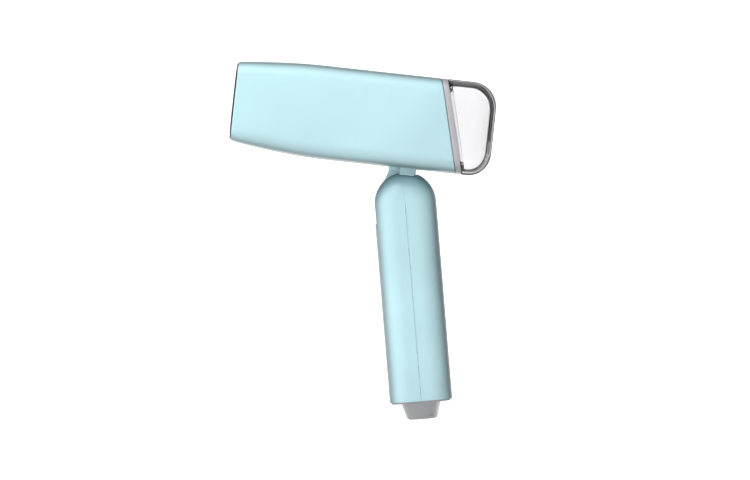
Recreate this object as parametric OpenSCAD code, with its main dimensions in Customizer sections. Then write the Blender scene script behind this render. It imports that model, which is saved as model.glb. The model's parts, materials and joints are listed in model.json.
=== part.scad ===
// Handheld garment steamer with a folding handle and a pull-off water tank.
// Millimetres. The origin is the centre of the steam plate's outer face, +X runs back along the
// barrel, +Z is up, and the side that faces -Y is the left one.

/* [Barrel] */
// Height of the barrel's top above the steam plate's centre
barrel_up = 29.2; // [22:0.1:45]
// Depth of the barrel's belly below the steam plate's centre
barrel_down = 31.2; // [24:0.1:45]
// Width of the barrel
barrel_w = 66; // [52:1:90]
// Length from the steam plate to the trim ring, along the top
barrel_len = 132.1; // [110:0.1:170]
// Radius of the four long edges
edge_r = 9; // [4:0.5:14]
// Wall of the barrel shells
wall = 2.2; // [1.6:0.1:3.5]
// How much the top drops towards the steam plate
top_drop = 4.3; // [1:0.1:8]
// Length over which the top drops
top_run = 56; // [30:1:90]
// How much the belly rises towards the steam plate
belly_rise = 6; // [1:0.1:9]
// Length over which the belly rises
belly_run = 65; // [30:1:90]
// Slant of the trim ring and of the tank's joint, in degrees from upright
ring_slant = 14.3; // [0:0.1:20]

/* [Steam head] */
// How far the steam plate stands out of the shells
plate_out = 1.2; // [0.5:0.1:3]
// Sheet of the steam plate
plate_t = 1.2; // [0.6:0.1:2]
// Margin from the shells' front edge to the steam plate, on every side
plate_margin = 4.4; // [3.6:0.1:7]
// Radius of each steam hole
steam_hole_r = 1.1; // [0.6:0.1:1.6]
// Depth of the steam chamber's casting
chamber_d = 18.8; // [14:0.1:26]
// Radius of the heater rod
rod_r = 3.3; // [2.5:0.1:4]
// Distance of the heater's legs from the middle
rod_y = 11; // [8:0.1:13]
// Distance of the chamber's screws from the middle, across
chamber_screw_y = 21.5; // [16:0.5:24]
// Distance of the chamber's screws from the middle, up and down
chamber_screw_z = 14; // [10:0.5:15]

/* [Water path] */
// Height of the pump's axis
pump_z = 8; // [4:0.5:10]
// Start of the pump's body behind the steam plate
pump_x = 60; // [58:0.5:70]
// Length of the pump's body
pump_len = 26; // [18:0.5:32]
// Radius of the pump's body
pump_r = 8; // [6:0.5:9]
// Outside radius of the pump's coil
coil_r = 11; // [10:0.5:12]
// Outside radius of the hoses
hose_r = 3.2; // [2.6:0.1:4]
// Bore radius of the hoses, which is the nipples' outside radius
hose_bore_r = 2; // [1.4:0.1:2.2]
// Depth of the tank's socket below the steam plate's centre
spigot_down = 14; // [8:0.5:15]
// Radius of the tank's mouth
mouth_r = 7.9; // [6:0.1:8.5]

/* [Tank] */
// Length of the tank from the trim ring to its end, along the belly
tank_len = 17.7; // [12:0.1:60]
// Wall of the tank
tank_wall = 2; // [1.4:0.1:3]
// Radius of the tank's upper rear edge
tank_top_r = 16; // [8:0.5:22]
// Radius of the tank's lower rear edge
tank_low_r = 14; // [6:0.5:16]
// Radius of the tank's upright rear edges
tank_side_r = 12; // [6:0.5:20]
// Width of the trim ring along the barrel
ring_w = 3.9; // [2:0.1:8]

/* [Neck and hinge] */
// Distance of the hinge pin in front of the trim ring's top edge
pivot_fore = 14.7; // [10:0.1:22]
// Distance of the hinge pin below the belly
pivot_drop = 22.3; // [22:0.1:30]
// Length of the neck along the barrel
neck_len = 19.5; // [14:0.1:24]
// Distance of the neck's front face in front of the hinge pin
neck_fore = 14.7; // [10:0.1:16]
// Width of the knuckle between the handle's cheeks
knuckle_w = 15.6; // [10:0.1:18]
// Width of the neck's collar at the belly
collar_w = 26; // [20:0.5:32]
// Radius of the hinge pin
pin_r = 3; // [2:0.1:4]

/* [Handle] */
// Depth of the handle, front to back
handle_d = 40.6; // [34:0.1:50]
// Width of the handle
handle_w = 35.6; // [32:0.1:44]
// Radius of the handle's four long edges
grip_r = 14; // [9:0.5:16]
// Length from the hinge pin to the handle's lower end
handle_len = 128.5; // [110:0.5:160]
// Lean of the handle from square to the barrel, in degrees
lean = 10.9; // [0:0.1:20]
// Wall of the handle shells
grip_wall = 2.2; // [1.6:0.1:3]
// Distance of the trigger's upper end below the hinge pin
trigger_top = 22; // [20:0.5:30]
// Length of the trigger
trigger_len = 28; // [18:0.5:36]
// Width of the trigger
trigger_w = 13; // [9:0.5:15]
// Travel of the trigger
trigger_travel = 2.5; // [1:0.1:3]

/* [Cord end] */
// Radius of the gland at the base cap
gland_top_r = 13; // [11:0.1:15]
// Radius of the gland at its lower end, before its edge is rounded
gland_low_r = 9.6; // [8:0.1:11]
// Height of the gland
gland_h = 10.8; // [8:0.1:16]
// Rounding of the gland's lower edge
gland_round = 2.6; // [1:0.1:3]
// Radius of the bore for the cord
cord_r = 3.5; // [2.5:0.1:4.5]
// Thickness of the base cap that shows
cap_t = 0.9; // [0.4:0.1:2]

/* [Clearances] */
// Radial clearance of a pin or a shaft that turns or slides
run_fit = 0.05; // [0.01:0.01:0.1]
// Gap between pieces that only pass each other
gap = 0.3; // [0.2:0.05:0.6]
// Gap between pieces that seat on each other inside one case
seat = 0.1; // [0.05:0.01:0.2]

/* [Output] */
// Which piece is made

/* [Hidden] */
$fn = 72;
big = 400;
AQUA = [0.68, 0.88, 0.90];
GREY = [0.62, 0.62, 0.64];
DARK = [0.12, 0.12, 0.13];
STEEL = [0.75, 0.76, 0.78];
ALLOY = [0.66, 0.67, 0.69];
BRASS = [0.80, 0.64, 0.32];
SILICONE = [0.86, 0.87, 0.88];
CLEAR = [0.80, 0.84, 0.86, 0.45];
BOARD = [0.10, 0.38, 0.22];
NATURAL = [0.85, 0.84, 0.80];

// barrel
half_w = barrel_w / 2;
top_arc_r = (top_run * top_run + top_drop * top_drop) / (2 * top_drop);
belly_arc_r = (belly_run * belly_run + belly_rise * belly_rise) / (2 * belly_rise);
front_x = plate_out;
slant_k = tan(ring_slant);
boss_r = 4.2;
screw_r = 1.5;
head_r = 2.8;
head_h = 2.2;
barrel_boss_top_z = pump_z + hose_r + boss_r + 1;
barrel_boss_fore_x = 44;
barrel_boss_aft_x = barrel_len - 14;
barrel_screw_seat = half_w - 20;
barrel_screw_len = barrel_screw_seat + 9;
boss_reach = half_w - wall / 2;

// steam head
front_up = barrel_up - top_drop;
front_down = barrel_down - belly_rise;
plate_up = front_up - plate_margin;
plate_down = front_down - plate_margin;
plate_hw = half_w - plate_margin - 1.6;
plate_corner_r = 8;
plate_rim_t = 0.9;
plate_rim_d = 4;
chamber_x = plate_t;
chamber_back = chamber_x + chamber_d;
chamber_in = plate_rim_t + seat;
chamber_wall = 3.4;
cavity_d = 7.6;
seal_w = 1.6;
seal_t = 1;
rod_x = chamber_back - rod_r + 0.8;
rod_back = rod_x + rod_r;
rod_bend_z = 2;
rod_top = plate_up + 0.8;
pin_wire_r = 1;
strap_t = 1;
stat_z = rod_bend_z + 7;
stat_r = min(6.5, rod_y - rod_r - 0.6);
inlet_z = rod_bend_z - rod_y - rod_r - 0.6 - 2.9;
inlet_flange_r = 2.9;
inlet_flange_t = 1.5;
water_r = 1.1;
post_len = 11;
shield_x = chamber_back + post_len;
shield_t = 1.6;
shield_back = shield_x + shield_t;
bezel_back = 12;

// water path
spigot_z = -spigot_down;
nipple_len = 8;
outlet_bend_r = (pump_z - inlet_z) / 2;
inlet_bend_r = (pump_z - spigot_z) / 2;
outlet_low_x = chamber_back + nipple_len;
outlet_high_x = outlet_low_x + 2 * outlet_bend_r;
pump_end = pump_x + pump_len;
cup_wall = 2;
cup_bore_r = mouth_r + run_fit + 0.15;
cup_r = cup_bore_r + cup_wall;
mouth_len = 12.5;

// tank and ring
bulkhead_aft = -3.5;
bulkhead_t = 2.5;
ring_lip = 4.5;
tank_fore = ring_w + gap;
nest_in = ring_lip + gap + 0.2;
nest_fore = -2.5;
nest_wall = 1.8;
belly_ring_x = barrel_len + (barrel_up + barrel_down) * slant_k;
tank_end = belly_ring_x + ring_w + tank_len;
mouth_x = joint_x(spigot_z) + nest_fore - mouth_len;
cup_x = mouth_x - 1 - cup_wall;
oring_r = 0.95;

// chassis
chassis_top = -18;
chassis_t = 2;
chassis_fore = shield_back + 3.4;
chassis_aft = barrel_len - 20.1;
board_t = 1.6;
board_lift = 4;

// neck and hinge
pivot_x = barrel_len - pivot_fore;
pivot_z = -(barrel_down + pivot_drop);
neck_x = pivot_x - neck_fore;
neck_end = neck_x + neck_len;
dome_r = handle_d / 2;
knuckle_r = dome_r - 0.6;
knuckle_back_r = dome_r - grip_wall - 0.7;
flange_t = 4.3;
flange_x = neck_x - 12.7;
flange_len = neck_len + 16.5;
flange_w = min(38, barrel_w - 2 * edge_r - 8);
flange_low = -(barrel_down - wall - 0.2);
flange_top = flange_low + flange_t;
neck_screw_y = collar_w / 2 + 2;
neck_screw_fore = flange_x + 4;
neck_screw_aft = chassis_aft - 3.6;
washer_t = 0.4;
cheek = knuckle_w / 2 + washer_t + seat;
cheek_t = 2;
pin_len = handle_w - 2 * grip_wall - 2;
slot_front = 121;
slot_rear = -27.5;
knuckle_fore_end = 150;
// the round front of the knuckle begins just inside the slot's rear end
knuckle_fore_start = slot_rear + lean + 2;

// handle
grip_hd = handle_d / 2;
grip_hw = handle_w / 2;
trigger_mid = -(trigger_top + trigger_len / 2);
lip_t = 1.5;
lip_w = 1.5;
lip_x = -(grip_hd - grip_wall - seat);
trigger_back = lip_x + 4;
push_r = 2;
plunger_r = 1.5;
plunger_tip = trigger_back + 6;
switch_x = plunger_tip + trigger_travel + 1;
switch_len = 9;
switch_w = 11;
switch_h = 14;
carrier_t = 2;
spring_r = 3.6;
spring_wire = 0.4;
spring_turns = 5;
handle_screw_upper = -(trigger_top + trigger_len + 12);
handle_screw_lower = -(handle_len - 32);
handle_screw_seat = grip_hd - 8;
block_z = (handle_screw_upper + handle_screw_lower) / 2;
clamp_z = -(handle_len - 19);
cap_in = 1.2;
cap_plug = 5;
shaft_r = 8;
clip_t = 1;
clip_z = -(handle_len - cap_plug - seat);
shaft_top = clip_z + clip_t + 2.5;

// ---- helpers ----

// Place along X of the trim ring's slanted front face at height z
function joint_x(z) = barrel_len + (barrel_up - z) * slant_k;

// How far an arched face has come in at x, where the arch ends at run
function arch(x, run, arc_r) = x < run ? arc_r - sqrt(arc_r * arc_r - (run - x) * (run - x)) : 0;

// Extrudes a (Y, Z) outline along X
module prism_x(x0, x1) {
    translate([x0, 0, 0]) rotate([90, 0, 90]) linear_extrude(x1 - x0) children();
}

// Extrudes an (X, Z) outline along Y
module prism_y(y0, y1) {
    translate([0, y1, 0]) rotate([90, 0, 0]) linear_extrude(y1 - y0) children();
}

// A round bar along X, Y or Z
module bar_x(x0, x1, r, y = 0, z = 0) {
    translate([x0, y, z]) rotate([0, 90, 0]) cylinder(r = r, h = x1 - x0);
}
module bar_y(y0, y1, r, x = 0, z = 0) {
    translate([x, y0, z]) rotate([-90, 0, 0]) cylinder(r = r, h = y1 - y0);
}
module bar_z(z0, z1, r, x = 0, y = 0) {
    translate([x, y, z0]) cylinder(r = r, h = z1 - z0);
}

// A box from its two corners
module block(a, b) {
    translate(a) cube([b[0] - a[0], b[1] - a[1], b[2] - a[2]]);
}

// A rectangle with round corners, from its two corners
module rounded(x0, y0, x1, y1, r) {
    translate([x0 + r, y0]) square([x1 - x0 - 2 * r, y1 - y0]);
    translate([x0, y0 + r]) square([x1 - x0, y1 - y0 - 2 * r]);
    for (x = [x0 + r, x1 - r]) {
        for (y = [y0 + r, y1 - r]) {
            translate([x, y]) circle(r);
        }
    }
}

// The space between two planes that follow the slanted joint, a and b behind its front face
module slanted(a, b) {
    reach = 60;
    prism_y(-reach, reach) {
        polygon([[joint_x(-reach) + a, -reach], [joint_x(-reach) + b, -reach],
            [joint_x(reach) + b, reach], [joint_x(reach) + a, reach]]);
    }
}

// ---- barrel ----

// The barrel's cross-section, t inside its outer face
module barrel_section(up, down, t) {
    rounded(-(half_w - t), -(down - t), half_w - t, up - t, max(edge_r - t, 1));
}

// The barrel's outline from the side: straight behind, arched in towards the front, t inside
module side_profile(t) {
    intersection() {
        translate([0, -(barrel_down - t)]) square([big, barrel_up + barrel_down - 2 * t]);
        union() {
            translate([top_run, -big / 2]) square([big, big]);
            translate([top_run, barrel_up - top_arc_r]) circle(top_arc_r - t, $fn = 720);
        }
        union() {
            translate([belly_run, -big / 2]) square([big, big]);
            translate([belly_run, belly_arc_r - barrel_down]) circle(belly_arc_r - t, $fn = 720);
        }
    }
}

// The barrel's cross-section at x, t inside its outer face
module section_at(x, t) {
    up = barrel_up - arch(x, top_run, top_arc_r);
    down = barrel_down - arch(x, belly_run, belly_arc_r);
    barrel_section(up, down, t);
}

// The left side of the barrel's solid from x0 back, t inside, and over past the middle plane
module barrel_side(t, x0, over) {
    intersection() {
        prism_y(-half_w - 1, over) side_profile(t);
        prism_x(x0, big) barrel_section(barrel_up, barrel_down, t);
    }
}

// The left side's wall with its screw bosses
module barrel_wall() {
    intersection() {
        union() {
            difference() {
                barrel_side(0, front_x, 0);
                barrel_side(wall, front_x - 1, 1);
            }
            at_barrel_screws() bar_y(-boss_reach, 0, boss_r);
        }
        slanted(-big, 0);
    }
}

// The barrel's straight part, shrunk by t, between two slanted planes
module barrel_slanted(t, a, b) {
    intersection() {
        prism_x(belly_run, big) barrel_section(barrel_up, barrel_down, t);
        slanted(a, b);
    }
}

// Calls its children at each of the barrel's two screws
module at_barrel_screws() {
    translate([barrel_boss_fore_x, 0, barrel_boss_top_z]) children();
    translate([barrel_boss_aft_x, 0, barrel_boss_top_z]) children();
}

// The hole in the belly that the neck goes through
module neck_opening() {
    block([neck_x - seat, -collar_w / 2 - seat, -barrel_down - 1],
        [neck_end + seat, collar_w / 2 + seat, flange_low + seat]);
}

module barrel_shell_left() color(AQUA) {
    difference() {
        barrel_wall();
        neck_opening();
        at_barrel_screws() bar_y(barrel_screw_seat - barrel_screw_len - 1, 1, screw_r);
    }
}

module barrel_shell_right() color(AQUA) {
    difference() {
        mirror([0, 1, 0]) barrel_wall();
        neck_opening();
        at_barrel_screws() bar_y(-1, barrel_screw_seat + 1, screw_r + 0.2);
        at_barrel_screws() bar_y(barrel_screw_seat, half_w + 1, head_r + 0.2);
    }
}

// A cross-head screw along Z: its head stands on z = 0 and its shank goes down
module screw(shank_r, shank_len, h_r, h_h) {
    difference() {
        union() {
            cylinder(r = h_r, h = h_h);
            translate([0, 0, -shank_len]) cylinder(r = shank_r, h = shank_len);
        }
        slot_w = h_r * 0.3;
        slot_l = h_r * 1.2;
        translate([-slot_l / 2, -slot_w / 2, h_h * 0.5]) cube([slot_l, slot_w, h_h]);
        translate([-slot_w / 2, -slot_l / 2, h_h * 0.5]) cube([slot_w, slot_l, h_h]);
    }
}

module barrel_screws() color(STEEL) {
    at_barrel_screws() {
        translate([0, barrel_screw_seat, 0]) rotate([-90, 0, 0]) {
            screw(screw_r, barrel_screw_len, head_r, head_h);
        }
    }
}

// ---- steam head ----

// The steam plate's outline, t inside
module plate_outline(t) {
    rounded(-(plate_hw - t), -(plate_down - t), plate_hw - t, plate_up - t,
        max(plate_corner_r - t, 1));
}

module front_bezel() color(DARK) {
    difference() {
        union() {
            prism_x(front_x, bezel_back) section_at(front_x, wall + seat);
            prism_x(plate_t * 0.4, front_x) section_at(front_x, 0.9);
        }
        prism_x(-1, bezel_back + 1) plate_outline(-gap);
    }
}

// Calls its children at each steam hole: an outer and an inner oval ring
module at_steam_holes() {
    for (i = [0 : 13]) {
        translate([0, (plate_hw - 10) * cos(i * 360 / 14), (plate_up - 9) * sin(i * 360 / 14)]) {
            children();
        }
    }
    for (i = [0 : 5]) {
        translate([0, (plate_hw - 18) * cos(i * 60), (plate_up - 15) * sin(i * 60)]) children();
    }
}

module steam_plate() color(STEEL) {
    difference() {
        prism_x(0, plate_t + plate_rim_d) plate_outline(0);
        prism_x(plate_t, plate_t + plate_rim_d + 1) plate_outline(plate_rim_t);
        at_steam_holes() bar_x(-1, plate_t + 1, steam_hole_r);
    }
}

// The ring that the seal fills, in the chamber's front rim
module seal_ring(t0, t1) {
    difference() {
        prism_x(chamber_x, chamber_x + seal_t) plate_outline(t0);
        prism_x(chamber_x - 1, chamber_x + seal_t + 1) plate_outline(t1);
    }
}

module chamber_seal() color(SILICONE) {
    seal_ring(chamber_in + 0.9, chamber_in + 0.9 + seal_w);
}

// The heater's bent rod, r thick
module heater_rod(r, top) {
    translate([rod_x, 0, rod_bend_z]) rotate([0, 90, 0]) rotate([0, 0, -90]) {
        rotate_extrude(angle = 180) translate([rod_y, 0]) circle(r);
    }
    for (y = [-rod_y, rod_y]) {
        bar_z(rod_bend_z, top, r, rod_x, y);
    }
}

// The open channel behind the rod, so that it can be laid in from the back
module heater_channel() {
    prism_x(rod_x, chamber_back + 1) {
        difference() {
            translate([0, rod_bend_z]) circle(rod_y + rod_r);
            translate([0, rod_bend_z]) circle(rod_y - rod_r);
            translate([-big / 2, rod_bend_z]) square([big, big]);
        }
        for (y = [-rod_y, rod_y]) {
            translate([y - rod_r, rod_bend_z]) square([2 * rod_r, big / 4]);
        }
    }
}

// Calls its children at each of the chamber's four screws
module at_chamber_screws() {
    for (y = [-chamber_screw_y, chamber_screw_y]) {
        for (z = [-chamber_screw_z, chamber_screw_z]) {
            translate([0, y, z]) children();
        }
    }
}

module steam_chamber() color(ALLOY) {
    screw_depth = 7;
    rib_t = 2;
    rib_h = plate_up - chamber_in - chamber_wall;
    difference() {
        prism_x(chamber_x, chamber_back) plate_outline(chamber_in);
        prism_x(chamber_x - 1, chamber_x + cavity_d) plate_outline(chamber_in + chamber_wall);
        seal_ring(chamber_in + 0.9, chamber_in + 0.9 + seal_w);
        heater_rod(rod_r, plate_up + 1);
        heater_channel();
        at_chamber_screws() bar_x(chamber_back - screw_depth, chamber_back + 1, screw_r);
        bar_x(chamber_x + 1, chamber_back + 1, hose_bore_r, 0, inlet_z);
    }
    // ribs that the steam winds round
    for (side = [-1, 1]) {
        for (i = [1 : 2]) {
            low = i == 1 ? -rib_h + 8 : -rib_h - 1;
            high = i == 1 ? rib_h : rib_h - 8;
            y = side * i * (plate_hw - 8) / 3.4;
            block([chamber_x + 1, y - rib_t / 2, low], [chamber_x + cavity_d, y + rib_t / 2, high]);
        }
    }
}

module heating_element() color(ALLOY) {
    heater_rod(rod_r, rod_top);
    for (y = [-rod_y, rod_y]) {
        bar_z(rod_top - 1, rod_top + 3, pin_wire_r, rod_x, y);
    }
}

module element_strap() color(STEEL) {
    strap_y = rod_y + rod_r + 2.5;
    strap_h = 5;
    z0 = rod_bend_z - 5;
    block([rod_back, -strap_y, z0], [rod_back + strap_t, strap_y, z0 + strap_h]);
    for (side = [-1, 1]) {
        y = side * (strap_y - 1);
        block([chamber_back, y - 1, z0], [rod_back + strap_t, y + 1, z0 + strap_h]);
    }
}

module thermostat() color(DARK) {
    bar_x(chamber_back, chamber_back + 4, stat_r, 0, stat_z);
    bar_x(chamber_back + 4, chamber_back + 6.5, stat_r - 1.5, 0, stat_z);
    for (y = [-3, 3]) {
        block([chamber_back + 6.5, y - 0.4, stat_z - 2], [chamber_back + 9, y + 0.4, stat_z + 2]);
    }
}

module thermal_fuse() color(NATURAL) {
    fuse_r = 1.8;
    fuse_y = rod_y + rod_r + 6;
    fuse_x = chamber_back + fuse_r + 0.5;
    bar_z(-6, 6, fuse_r, fuse_x, fuse_y);
    bar_z(-9, 9, 0.5, fuse_x, fuse_y);
    block([chamber_back, fuse_y - 1.2, -2], [fuse_x, fuse_y + 1.2, 2]);
}

module inlet_nipple() color(BRASS) {
    difference() {
        union() {
            bar_x(chamber_back - 6, chamber_back + nipple_len - 0.5, hose_bore_r, 0, inlet_z);
            bar_x(chamber_back, chamber_back + inlet_flange_t, inlet_flange_r, 0, inlet_z);
        }
        bar_x(chamber_back - 7, chamber_back + nipple_len, water_r, 0, inlet_z);
    }
}

module heat_shield() color(NATURAL) {
    difference() {
        union() {
            prism_x(shield_x, shield_back) section_at(shield_x, wall + seat);
            at_chamber_screws() bar_x(chamber_back, shield_x + 0.5, 3.5);
        }
        at_chamber_screws() bar_x(chamber_back - 1, shield_back + 1, screw_r + 0.1);
        bar_x(shield_x - 1, shield_back + 1, hose_r + 1.6, 0, inlet_z + 0.5);
        for (side = [-1, 1]) {
            bar_x(shield_x - 1, shield_back + 1, 3, side * rod_y, stat_z + 6);
        }
    }
}

module chamber_screws() color(STEEL) {
    at_chamber_screws() {
        translate([shield_back, 0, 0]) rotate([0, 90, 0]) {
            screw(screw_r, shield_back - chamber_back + 6.5, head_r, head_h);
        }
    }
}

// ---- water path ----

// A hose that runs forward at height z1, bends up and forward again at z2
module bent_hose(low_x0, low_x1, z1, z2, high_x0, high_x1, bend_r) {
    difference() {
        hose_run(low_x0, low_x1, z1, z2, high_x0, high_x1, bend_r, hose_r);
        hose_run(low_x0 - 1, low_x1, z1, z2, high_x0, high_x1 + 1, bend_r, hose_bore_r);
    }
}

module hose_run(low_x0, low_x1, z1, z2, high_x0, high_x1, bend_r, r) {
    bar_x(low_x0, low_x1, r, 0, z1);
    translate([low_x1, 0, z1 + bend_r]) rotate([90, 0, 0]) rotate([0, 0, -90]) {
        rotate_extrude(angle = 90) translate([bend_r, 0]) circle(r);
    }
    translate([high_x0, 0, z2 - bend_r]) rotate([90, 0, 0]) rotate([0, 0, 90]) {
        rotate_extrude(angle = 90) translate([bend_r, 0]) circle(r);
    }
    bar_x(high_x0, high_x1, r, 0, z2);
}

module outlet_hose() color(SILICONE) {
    bent_hose(chamber_back + inlet_flange_t, outlet_low_x, inlet_z, pump_z,
        outlet_high_x, pump_x, outlet_bend_r);
}

// The tank's hose is the same run turned round
module inlet_hose() color(SILICONE) {
    turn = cup_x + pump_end;
    translate([turn, 0, 0]) mirror([1, 0, 0]) {
        bent_hose(pump_end, pump_end + nipple_len, spigot_z, pump_z,
            pump_end + nipple_len + 2 * inlet_bend_r, cup_x, inlet_bend_r);
    }
}

module pump_body() color(NATURAL) {
    difference() {
        union() {
            bar_x(pump_x, pump_end, pump_r, 0, pump_z);
            bar_x(pump_x - nipple_len + 1, pump_end + nipple_len - 1, hose_bore_r, 0, pump_z);
        }
        bar_x(pump_x - nipple_len, pump_end + nipple_len, water_r, 0, pump_z);
        bar_x(pump_x + 3, pump_end - 3, pump_r - 3, 0, pump_z);
    }
}

module pump_coil() color(BRASS) {
    difference() {
        bar_x(pump_x + 4, pump_end - 4, coil_r, 0, pump_z);
        bar_x(pump_x + 3, pump_end - 3, pump_r, 0, pump_z);
    }
}

module pump_frame() color(STEEL) {
    frame_t = 2;
    r = coil_r + 1;
    difference() {
        union() {
            for (x = [pump_x + 2, pump_end - 4]) {
                block([x, -r, pump_z - r], [x + frame_t, r, pump_z + r]);
            }
            block([pump_x + 2, -r, pump_z + coil_r], [pump_end - 2, r, pump_z + r]);
        }
        bar_x(pump_x, pump_end, pump_r, 0, pump_z);
    }
}

module pump_cradle() color(DARK) {
    base_t = 2;
    difference() {
        union() {
            block([pump_x + 2, -10, chassis_top], [pump_end - 2, 10, chassis_top + base_t]);
            for (x = [pump_x + 6, pump_end - 10]) {
                block([x, -8, chassis_top], [x + 4, 8, pump_z - 4]);
            }
        }
        bar_x(pump_x, pump_end, coil_r, 0, pump_z);
    }
}

// ---- chassis and control ----

board_x = chassis_fore + 4;
board_len = 48;
board_y = -27;
board_w = 16;

// Calls its children at each of the four posts under the circuit board
module at_board_posts() {
    for (x = [board_x + 3.5, board_x + board_len - 3.5]) {
        for (y = [board_y + 3.5, board_y + board_w - 3.5]) {
            translate([x, y, 0]) children();
        }
    }
}

// Calls its children at each of the neck's four screws
module at_neck_screws() {
    for (x = [neck_screw_fore, neck_screw_aft]) {
        for (y = [-neck_screw_y, neck_screw_y]) {
            translate([x, y, 0]) children();
        }
    }
}

module chassis() color(DARK) {
    arm_w = 8;
    difference() {
        union() {
            intersection() {
                prism_x(chassis_fore, chassis_aft) section_at(chassis_fore, wall + 0.15);
                block([0, -big / 4, chassis_top - chassis_t], [big, big / 4, chassis_top]);
            }
            for (side = [-1, 1]) {
                y = side * 16;
                block([shield_back, y - arm_w / 2, chassis_top - chassis_t],
                    [chassis_fore + 1, y + arm_w / 2, chassis_top]);
            }
            at_board_posts() bar_z(chassis_top - 1, chassis_top + board_lift, 2.5);
            at_neck_screws() bar_z(flange_top, chassis_top - 1, 3.6);
        }
        at_neck_screws() bar_z(flange_top - 1, chassis_top + 1, screw_r);
    }
}

module control_board() color(BOARD) {
    z = chassis_top + board_lift;
    difference() {
        block([board_x, board_y, z], [board_x + board_len, board_y + board_w, z + board_t]);
        at_board_posts() bar_z(z - 1, z + board_t + 1, 1.2);
    }
}

// Relay, capacitor, terminals and small parts on the board
module board_parts() color(DARK) {
    z = chassis_top + board_lift + board_t;
    y = board_y + board_w / 2;
    block([board_x + 6, y - 6, z], [board_x + 21, y + 4, z + 9]);
    bar_z(z, z + 12, 4, board_x + 27, y);
    for (i = [0 : 2]) {
        x = board_x + 33 + i * 4;
        block([x, y - 4, z], [x + 3, y + 2, z + 6]);
    }
    for (i = [0 : 4]) {
        block([board_x + 7 + i * 6, y + 5, z], [board_x + 9 + i * 6, y + 6.4, z + 1.2]);
    }
}

// ---- tank joint ----

module rear_bulkhead() color(GREY) {
    difference() {
        union() {
            barrel_slanted(wall + 0.15, bulkhead_aft - bulkhead_t, bulkhead_aft);
            intersection() {
                bar_x(cup_x, belly_ring_x, cup_r, 0, spigot_z);
                slanted(-big, bulkhead_aft);
            }
            bar_x(cup_x - nipple_len + 1, cup_x + 1, hose_bore_r, 0, spigot_z);
        }
        bar_x(cup_x + cup_wall, belly_ring_x + 5, cup_bore_r, 0, spigot_z);
        bar_x(cup_x - nipple_len, cup_x + cup_wall + 1, water_r, 0, spigot_z);
    }
}

module trim_ring() color(GREY) {
    difference() {
        union() {
            barrel_slanted(0, 0, ring_w);
            barrel_slanted(wall + seat, bulkhead_aft, 0.5);
        }
        barrel_slanted(ring_lip, bulkhead_aft - 1, ring_w + 1);
    }
}

// ---- tank ----

// The tank's outer solid shrunk by t, without its slanted front
module tank_solid(t) {
    z0 = -(barrel_down - t);
    z1 = barrel_up - t;
    x0 = barrel_len - 20;
    x1 = tank_end - t;
    top_r = tank_top_r - t;
    low_r = tank_low_r - t;
    side_r = tank_side_r - t;
    hw = half_w - t;
    intersection() {
        prism_x(x0, x1) barrel_section(barrel_up, barrel_down, t);
        prism_y(-half_w, half_w) {
            translate([x0, z0]) square([x1 - top_r - x0, z1 - z0]);
            translate([x0, z0 + low_r]) square([x1 - x0, z1 - top_r - z0 - low_r]);
            translate([x1 - top_r, z1 - top_r]) circle(top_r);
            translate([x1 - low_r, z0 + low_r]) circle(low_r);
            translate([x0, z0]) square([x1 - low_r - x0, low_r * 2]);
        }
        translate([0, 0, -big / 4]) linear_extrude(big / 2) {
            rounded(x0 - 2 * side_r, -hw, x1, hw, side_r);
        }
    }
}

module tank_shell() color(CLEAR) {
    intersection() {
        difference() {
            tank_solid(0);
            tank_solid(tank_wall);
        }
        slanted(tank_fore, big);
    }
}

module tank_front() color(CLEAR) {
    difference() {
        union() {
            intersection() {
                tank_solid(tank_wall + 0.05);
                slanted(tank_fore, tank_fore + tank_wall);
            }
            barrel_slanted(nest_in, nest_fore, tank_fore + 0.5);
        }
        barrel_slanted(nest_in + nest_wall, nest_fore + nest_wall, tank_fore + tank_wall + 1);
        bar_x(mouth_x, tank_end, mouth_r, 0, spigot_z);
        bar_x(barrel_len - 5, tank_end, 5.5, 0, barrel_up - 17);
    }
}

module tank_valve() color(NATURAL) {
    flange_in = 1.5;
    difference() {
        union() {
            intersection() {
                bar_x(mouth_x, tank_end, mouth_r, 0, spigot_z);
                slanted(-big, nest_fore + nest_wall + flange_in);
            }
            intersection() {
                bar_x(mouth_x, tank_end, mouth_r + 2, 0, spigot_z);
                slanted(nest_fore + nest_wall, nest_fore + nest_wall + flange_in);
            }
        }
        bar_x(mouth_x + 2, tank_end, mouth_r - 2.4, 0, spigot_z);
        bar_x(mouth_x - 1, mouth_x + 3, 2.5, 0, spigot_z);
        translate([mouth_x + 4, 0, spigot_z]) rotate([0, 90, 0]) {
            rotate_extrude() translate([mouth_r + 0.1 - oring_r, 0]) circle(oring_r);
        }
    }
}

module valve_flap() color(SILICONE) {
    bar_x(mouth_x + 2, mouth_x + 3.5, mouth_r - 2.5, 0, spigot_z);
    bar_x(mouth_x + 3, mouth_x + 6, 3, 0, spigot_z);
}

module tank_oring() color(DARK) {
    translate([mouth_x + 4, 0, spigot_z]) rotate([0, 90, 0]) {
        rotate_extrude() translate([mouth_r + 0.1 - oring_r, 0]) circle(oring_r);
    }
}

module filler_plug() color(DARK) {
    z = barrel_up - 17;
    intersection() {
        bar_x(barrel_len - 5, tank_end, 7.5, 0, z);
        slanted(nest_fore - 0.7, nest_fore);
    }
    intersection() {
        bar_x(barrel_len - 5, tank_end, 5.5, 0, z);
        slanted(nest_fore - 0.5, nest_fore + nest_wall + 2);
    }
}

// ---- neck and hinge ----

// A wedge round the hinge pin between two angles, counted from straight up towards the front
module wedge(a0, a1, r, w) {
    steps = ceil((a1 - a0) / 30);
    prism_y(-w / 2, w / 2) {
        polygon(concat([[0, 0]],
            [for (i = [0 : steps]) let (a = a0 + (a1 - a0) * i / steps) [-r * sin(a), r * cos(a)]]));
    }
}

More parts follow.
